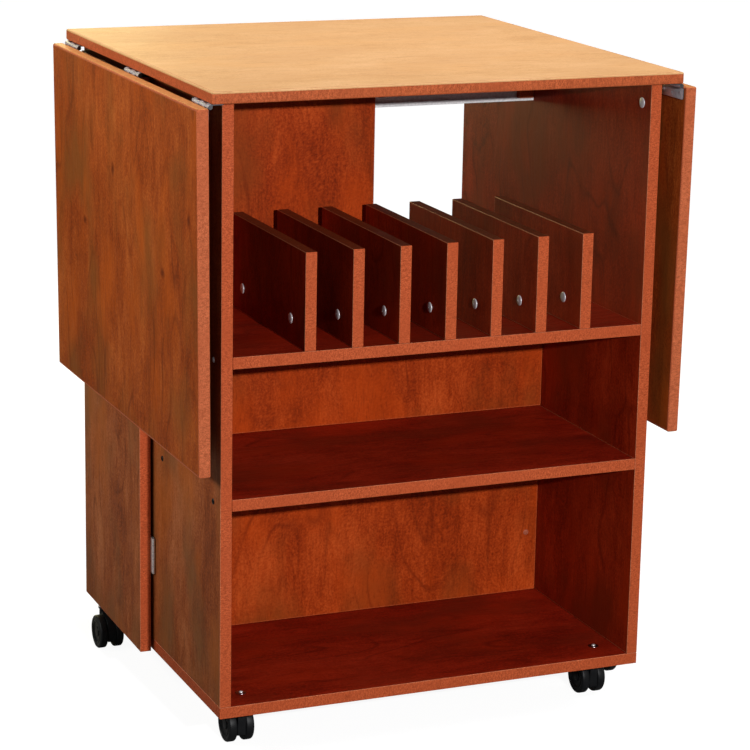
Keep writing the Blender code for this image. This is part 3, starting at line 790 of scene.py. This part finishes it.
def plate_mesh(name, size):
    """A hinge half's flat plate, with two round corners and sheared edges."""
    half = size.length / 2 - KNUCKLE_GAP / 2
    plate = bmesh.new()
    box_into(plate, (size.knuckle_r + PLATE_CLEAR, -half, size.plate_top - size.plate),
             (size.reach, half, size.plate_top))
    corners = [e for e in plate.edges if abs((e.verts[0].co - e.verts[1].co).normalized().z) > 0.9
               and e.verts[0].co.x > size.reach / 2]
    bmesh.ops.bevel(plate, geom=corners, offset=PLATE_CORNER_R, segments=5, profile=0.5, affect="EDGES")
    bmesh.ops.bevel(plate, geom=plate.edges[:], offset=PLATE_EDGE, segments=2, profile=0.5, affect="EDGES")
    plate.normal_update()
    # the plate's rims take the painted shade
    for face in plate.faces:
        face.material_index = 0 if abs(face.normal.z) > 0.9 else 1
    return mesh_from(name, plate)


def hinge_half(body, size, moving, matrix, node, screw, mirrored=False, finish=ZINC):
    """One half of a butt hinge, its pin along Y through the matrix's origin, its plate towards +X.

    The fixed half has the odd knuckles, and the moving half the even ones and the pin.
    """
    shape = bmesh.new()
    pitch = size.length / KNUCKLES
    for index in range(int(moving), KNUCKLES, 2):
        start = -size.length / 2 + index * pitch + KNUCKLE_GAP / 2
        knuckle(shape, start, start + pitch - KNUCKLE_GAP, size)
    mesh_into(shape, plate_mesh(f"{node}_flat", size), Matrix.Identity(4))
    if moving:
        end = size.length / 2 - 0.0002
        tip = size.pin_r * 0.75
        straight = end - PIN_POINT
        pin = [(0, -end), (tip, -end), (size.pin_r, -straight), (size.pin_r, straight), (tip, end), (0, end)]
        turn_into(shape, pin, 20, Matrix.Rotation(radians(-90), 4, "X"))
    shape.normal_update()
    # faces along the pin, the knuckles' and pin's ends and the plate's end rims, take the painted shade
    for face in shape.faces:
        if abs(face.normal.y) > 0.9:
            face.material_index = 1
    face_down = Matrix.Rotation(pi, 4, "X")
    middle = (size.knuckle_r + size.reach) / 2
    for count, along_pin in enumerate((-SCREW_ROW, 0.0, SCREW_ROW)):
        x = middle + (0.0018 if count == 1 else -0.0010)
        place = Matrix.Translation((x, along_pin * size.length, size.plate_top - size.plate))
        mesh_into(shape, screw, place @ face_down @ Matrix.Rotation(0.6 + count, 4, "Z"))
    bmesh.ops.transform(shape, matrix=Matrix.Diagonal((1, 1, -1 if mirrored else 1, 1)), verts=shape.verts)
    bmesh.ops.recalc_face_normals(shape, faces=shape.faces)
    made = object_from(f"{node}_plate", shape, [finish, RIM_AND_GAP_SHADE], matrix, 40)
    settle(made, body, "zinc", node)


def make_leaf_hinges(screw):
    down = Matrix.Rotation(radians(90), 4, "Y")
    for side_name, sign in SIDES:
        hang = hinge_frame(f"{side_name}_leaf_hinge", "Y", sign * LEAF_LEAN)
        upright = Matrix.Translation(hang.translation)
        inward = Matrix.Rotation(pi if sign > 0 else 0.0, 4, "Z")
        outward = Matrix.Rotation(pi if sign < 0 else 0.0, 4, "Z")
        for label in ("front", "middle", "rear"):
            fixed_node = f"{side_name}_leaf_hinge_{label}_fixed"
            moving_node = f"{side_name}_leaf_hinge_{label}_moving"
            low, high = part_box(fixed_node)
            slide = Matrix.Translation((0, (low.y + high.y) / 2, 0))
            hinge_half("cabinet", LEAF_HINGE, False, upright @ slide @ inward, fixed_node, screw)
            hinge_half(f"{side_name}_leaf", LEAF_HINGE, True, hang @ slide @ outward @ down, moving_node,
                       screw)


def make_gate_hinges(screw):
    standing = Matrix.Rotation(radians(90), 4, "Z") @ Matrix.Rotation(radians(90), 4, "X")
    for side_name, sign in SIDES:
        turn = pi if sign > 0 else 0.0
        pin = hinge_frame(f"{side_name}_gate_hinge", "Z", 0.0)
        for label in ("lower", "upper"):
            fixed_node = f"{side_name}_gate_hinge_{label}_fixed"
            moving_node = f"{side_name}_gate_hinge_{label}_moving"
            low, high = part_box(fixed_node)
            height = Matrix.Translation((0, 0, (low.z + high.z) / 2 - pin.translation.z))
            fixed_turn = Matrix.Rotation(turn, 4, "Z")
            moving_turn = Matrix.Rotation(turn - radians(GATE_LEAN), 4, "Z")
            # painted highlight: the gate hinges are the lighter zinc
            hinge_half("cabinet", GATE_HINGE_FIXED, False, pin @ height @ fixed_turn @ standing,
                       fixed_node, screw, finish=LIT_ZINC)
            hinge_half(f"{side_name}_gate", GATE_HINGE_MOVING, True, pin @ height @ moving_turn @ standing,
                       moving_node, screw, mirrored=True, finish=LIT_ZINC)


# ---------------------------------------------------------------- casters
def wheel_outline():
    """One wheel's section as (radius, distance out from the pair's middle): back, crown and face."""
    outer = WHEEL_PAIR_WIDTH / 2
    inner = outer - WHEEL_WIDTH
    r = WHEEL_R
    back = [(0.0, inner)]
    for step in range(5):
        angle = radians(90) * step / 4
        back.append((r - INNER_RIM_R * (1 - sin(angle)), inner + INNER_RIM_R * (1 - cos(angle))))
    crown = []
    for step in range(7):
        angle = radians(90) * step / 6
        crown.append((r - OUTER_RIM_R * (1 - cos(angle)), outer - OUTER_RIM_R * (1 - sin(angle))))
    face = [
        (r - 0.0044, outer), (r - 0.0050, outer - 0.0007), (r - 0.0074, outer - 0.0009),
        (r - 0.0080, outer - 0.0003), (r - 0.0086, outer - 0.0002), (r - 0.0110, outer - 0.0020),
        (0.0078, outer - 0.0024), (0.0072, outer - 0.0012), (0.0062, outer - 0.0009), (0.0, outer - 0.0008),
    ]
    return back, crown, face


def make_wheels(name, place):
    """A caster's two wheels and the axle between them."""
    shape = bmesh.new()
    back, crown, face = wheel_outline()
    for sign in (-1, 1):
        side = Matrix.Rotation(radians(90) * sign, 4, "Y")
        turn_into(shape, back, 64, side, 1)
        turn_into(shape, [back[-1]] + crown, 64, side, 1)
        turn_into(shape, [crown[-1]] + face, 64, side, 0)
    axle = HOOD_WIDTH / 2 + 0.002
    turn_into(shape, [(AXLE_R, -axle), (AXLE_R, axle)], 24, Matrix.Rotation(radians(90), 4, "Y"), 0)
    bmesh.ops.remove_doubles(shape, verts=shape.verts, dist=0.00001)
    bmesh.ops.recalc_face_normals(shape, faces=shape.faces)
    made = object_from(f"{name}_detail", shape, [NYLON, TREAD], Matrix.Translation(place), 32)
    settle(made, name, "black_nylon", name)


def hood_outline():
    """The hood's side view as (y, z) from the stem's axis: flat foot, round front, neck and back."""
    outline = []
    for step in range(41):
        angle = radians(205 + 250 * step / 40)
        outline.append((CASTER_TRAIL + HOOD_R * cos(angle), max(HOOD_FOOT, WHEEL_R + HOOD_R * sin(angle))))
    top_y, top_z = outline[-1]
    for step in range(1, 7):
        part = step / 6
        outline.append((top_y * (1 - part) + 0.0005 * part, top_z + (HOOD_NECK_Z - top_z) * part ** 0.6))
    return outline + [(HOOD_BACK_Y, HOOD_NECK_Z), (HOOD_BACK_Y, 0.0445)]


def make_fork(name, stem, trail_sign):
    """The swivelling part of a caster: its hood, its neck and the zinc collar under the board."""
    shape = bmesh.new()
    web = [shape.verts.new((-HOOD_WIDTH / 2, trail_sign * y, z)) for y, z in hood_outline()]
    pushed = bmesh.ops.extrude_face_region(shape, geom=[shape.faces.new(web)])
    moved = [v for v in pushed["geom"] if isinstance(v, bmesh.types.BMVert)]
    bmesh.ops.translate(shape, vec=(HOOD_WIDTH, 0, 0), verts=moved)
    neck = [(0, 0.0470), (0.0066, 0.0470), (0.0070, 0.0475), (0.0070, 0.0530), (0.0074, 0.0545),
            (0.0085, 0.0552), (0.0085, 0.0572), (0.0082, 0.0575), (0, 0.0575)]
    collar = [(0, 0.0576), (0.0084, 0.0576), (0.0085, 0.0578), (0.0085, CASTER_TOP), (0, CASTER_TOP)]
    turn_into(shape, neck, 40)
    turn_into(shape, collar, 40, index=1)
    bmesh.ops.recalc_face_normals(shape, faces=shape.faces)
    made = object_from(f"{name}_detail", shape, [TREAD, ZINC], Matrix.Translation((stem.x, stem.y, 0)), 32)
    rounding = made.modifiers.new("moulded_edges", "BEVEL")
    rounding.width = MOULDED_EDGE
    rounding.segments = 2
    rounding.limit_method = "ANGLE"
    rounding.angle_limit = radians(60)
    settle(made, name, "black_nylon", name)


def make_casters():
    for label in ("front_left", "front_right", "rear_left", "rear_right", "left_gate", "right_gate"):
        stem = joint_place(f"{label}_swivel")
        hub = joint_place(f"{label}_wheels_spin")
        make_fork(f"{label}_caster_fork", stem, 1 if hub.y > stem.y else -1)
        make_wheels(f"{label}_caster_wheels", hub)


# ---------------------------------------------------------------- rail
def rail_section(low, high):
    """The rail's section as (y, z): a channel open to the front, its lower flange's lip turned up."""
    lip_top = low.z + RAIL_LIP_HEIGHT
    inner = low.y + RAIL_SHEET
    return [
        (low.y, low.z + RAIL_FOLD), (low.y + RAIL_FOLD, low.z),
        (high.y - RAIL_FOLD, low.z), (high.y, low.z + RAIL_FOLD),
        (high.y, high.z - RAIL_FOLD), (high.y - RAIL_FOLD, high.z),
        (low.y, high.z), (low.y, high.z - RAIL_SHEET),
        (high.y - RAIL_SHEET, high.z - RAIL_SHEET), (high.y - RAIL_SHEET, low.z + RAIL_SHEET),
        (inner, low.z + RAIL_SHEET), (inner, lip_top - RAIL_LIP_ROUND), (inner - RAIL_LIP_ROUND, lip_top),
        (low.y + RAIL_LIP_ROUND, lip_top), (low.y, lip_top - RAIL_LIP_ROUND),
    ]


def make_rail():
    """A folded steel channel under the top, with a turned-up front lip and a screw at each end."""
    low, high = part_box("rail")
    shape = bmesh.new()
    quarter = Matrix.Rotation(radians(-90), 4, "Z")
    extrude_into(shape, [(-y, z) for y, z in rail_section(low, high)], low.x, high.x, quarter)
    bmesh.ops.recalc_face_normals(shape, faces=shape.faces)
    # the lip's front faces take the painted highlight
    for face in shape.faces:
        middle = face.calc_center_median()
        in_front = middle.y < low.y + RAIL_SHEET + RAIL_MARGIN
        if in_front and middle.z < low.z + RAIL_LIP_HEIGHT + RAIL_MARGIN:
            face.material_index = 1
    made = object_from("rail_channel", shape, [RAIL_STEEL, RAIL_LIP], Matrix.Identity(4), 30)
    settle(made, "cabinet", "grey_steel", "rail")
    screw = screw_mesh(*RAIL_SCREW_HEAD)
    for label, x in (("left", low.x + RAIL_SCREW_SETBACK), ("right", high.x - RAIL_SCREW_SETBACK)):
        place = (x, high.y - RAIL_SHEET, (low.z + high.z) / 2)
        fasten(f"rail_screw_{label}", screw, [ZINC], facing(place, (0, -1, 0), 0.5))


# ---------------------------------------------------------------- stage
def make_camera():
    """The camera at the place and angle that the object is seen from."""
    turn = radians(CAMERA_TURN)
    tilt = radians(CAMERA_TILT)
    roll = radians(CAMERA_ROLL)
    ahead = Vector((sin(turn) * cos(tilt), cos(turn) * cos(tilt), -sin(tilt)))
    right = Vector((cos(turn), -sin(turn), 0))
    up = right.cross(ahead)
    rolled_right = right * cos(roll) + up * sin(roll)
    rolled_up = up * cos(roll) - right * sin(roll)
    data = bpy.data.cameras.new("photo_view")
    data.lens = CAMERA_LENS
    data.sensor_width = SENSOR_WIDTH
    data.clip_start = 0.05
    data.clip_end = 60.0
    camera = bpy.data.objects.new("photo_view", data)
    bpy.context.scene.collection.objects.link(camera)
    rotation = Matrix((rolled_right, rolled_up, -ahead)).transposed().to_4x4()
    camera.matrix_world = Matrix.Translation(CAMERA_PLACE) @ rotation
    bpy.context.scene.camera = camera


def area_light(name, place, target, size, power, colour=(1.0, 1.0, 1.0)):
    data = bpy.data.lights.new(name, "AREA")
    data.shape = "RECTANGLE"
    data.size = size[0]
    data.size_y = size[1]
    data.energy = power
    data.color = colour
    lamp = bpy.data.objects.new(name, data)
    bpy.context.scene.collection.objects.link(lamp)
    aim = (Vector(target) - Vector(place)).to_track_quat("-Z", "Y").to_matrix().to_4x4()
    lamp.matrix_world = Matrix.Translation(place) @ aim


def node_value(nodes, kind, values):
    """Adds a node with constant inputs."""
    made = nodes.new(kind)
    for name, value in values.items():
        made.inputs[name].default_value = value
    return made


def floor_material():
    """Almost white to the camera, a touch darker around the object as a painted shade, and grey in what it
    reflects.
    """
    material = bpy.data.materials.new("pale_floor")
    material.use_nodes = True
    nodes = material.node_tree.nodes
    links = material.node_tree.links
    nodes.clear()
    output = nodes.new("ShaderNodeOutputMaterial")
    reflecting = node_value(nodes, "ShaderNodeBsdfDiffuse", {"Color": (0.22, 0.22, 0.22, 1.0)})
    shaded = node_value(nodes, "ShaderNodeBsdfDiffuse", {"Color": (0.16, 0.16, 0.16, 1.0)})
    glow = node_value(nodes, "ShaderNodeEmission", {"Color": (1.0, 1.0, 1.0, 1.0)})
    away = nodes.new("ShaderNodeVectorMath")
    away.operation = "LENGTH"
    links.new(nodes.new("ShaderNodeTexCoord").outputs["Object"], away.inputs[0])
    # painted shade: the glow is dimmer near the object
    fade = node_value(nodes, "ShaderNodeMapRange",
                      {"From Min": 0.5, "From Max": 1.4, "To Min": 0.93, "To Max": 1.0})
    links.new(away.outputs["Value"], fade.inputs["Value"])
    links.new(fade.outputs["Result"], glow.inputs["Strength"])
    seen = nodes.new("ShaderNodeAddShader")
    links.new(shaded.outputs[0], seen.inputs[0])
    links.new(glow.outputs[0], seen.inputs[1])
    choice = nodes.new("ShaderNodeMixShader")
    links.new(nodes.new("ShaderNodeLightPath").outputs["Is Camera Ray"], choice.inputs[0])
    links.new(reflecting.outputs[0], choice.inputs[1])
    links.new(seen.outputs[0], choice.inputs[2])
    links.new(choice.outputs[0], output.inputs["Surface"])
    return material


def make_floor():
    """A wide, flat, pale floor."""
    reach = 24.0
    shape = bmesh.new()
    corners = ((-reach, -reach), (reach, -reach), (reach, reach), (-reach, reach))
    shape.faces.new([shape.verts.new((x, y, 0)) for x, y in corners])
    data = mesh_from("pale_floor", shape)
    data.materials.append(floor_material())
    floor = bpy.data.objects.new("pale_floor", data)
    bpy.context.scene.collection.objects.link(floor)


def make_world():
    """Soft white surroundings, dimmer for the light they give than for what the camera sees."""
    world = bpy.data.worlds.new("studio")
    world.use_nodes = True
    nodes = world.node_tree.nodes
    links = world.node_tree.links
    background = nodes["Background"]
    background.inputs["Color"].default_value = (1.0, 1.0, 1.0, 1.0)
    seen = nodes.new("ShaderNodeLightPath").outputs["Is Camera Ray"]
    strength = node_value(nodes, "ShaderNodeMapRange", {"To Min": 0.08, "To Max": 1.0})
    links.new(seen, strength.inputs["Value"])
    links.new(strength.outputs["Result"], background.inputs["Strength"])
    bpy.context.scene.world = world


def make_lights():
    area_light("key", (-0.21, -3.5, 1.515), (0.0, 0.0, 0.45), (0.045, 0.045), 87.0)
    area_light("overhead", (0.15, 0.1, 2.5), (0.0, 0.0, 0.90), (1.0, 1.0), 34.0)
    area_light("left", (-1.35, 0.0, 1.02), (-0.35, 0.0, 0.84), (1.0, 0.25), 9.0, (1.0, 0.99, 0.92))
    area_light("right", (2.6, -0.4, 1.5), (0.35, 0.0, 0.50), (1.0, 1.0), 24.0)
    area_light("back", (0.0, 2.7, 1.0), (0.2, 0.0, 0.78), (1.1, 1.0), 40.0, (1.0, 0.90, 0.42))


bpy.context.scene.view_settings.view_transform = "Standard"
make_camera()
make_world()
make_lights()
make_floor()
make_side_panels()
make_level_boards()
make_back_panels()
make_dividers()
make_rail_blocks()
make_top()
make_leaves_and_gates()
board_cam = cam_mesh()
board_screw = screw_mesh(*SCREW_HEAD)
make_divider_cams(board_cam)
make_side_fasteners(board_cam, board_screw)
make_cover_caps(board_screw)
make_stem_nuts()
plate_screw = screw_mesh(*PLATE_SCREW_HEAD)
make_leaf_hinges(plate_screw)
make_gate_hinges(plate_screw)
make_rail()
make_casters()
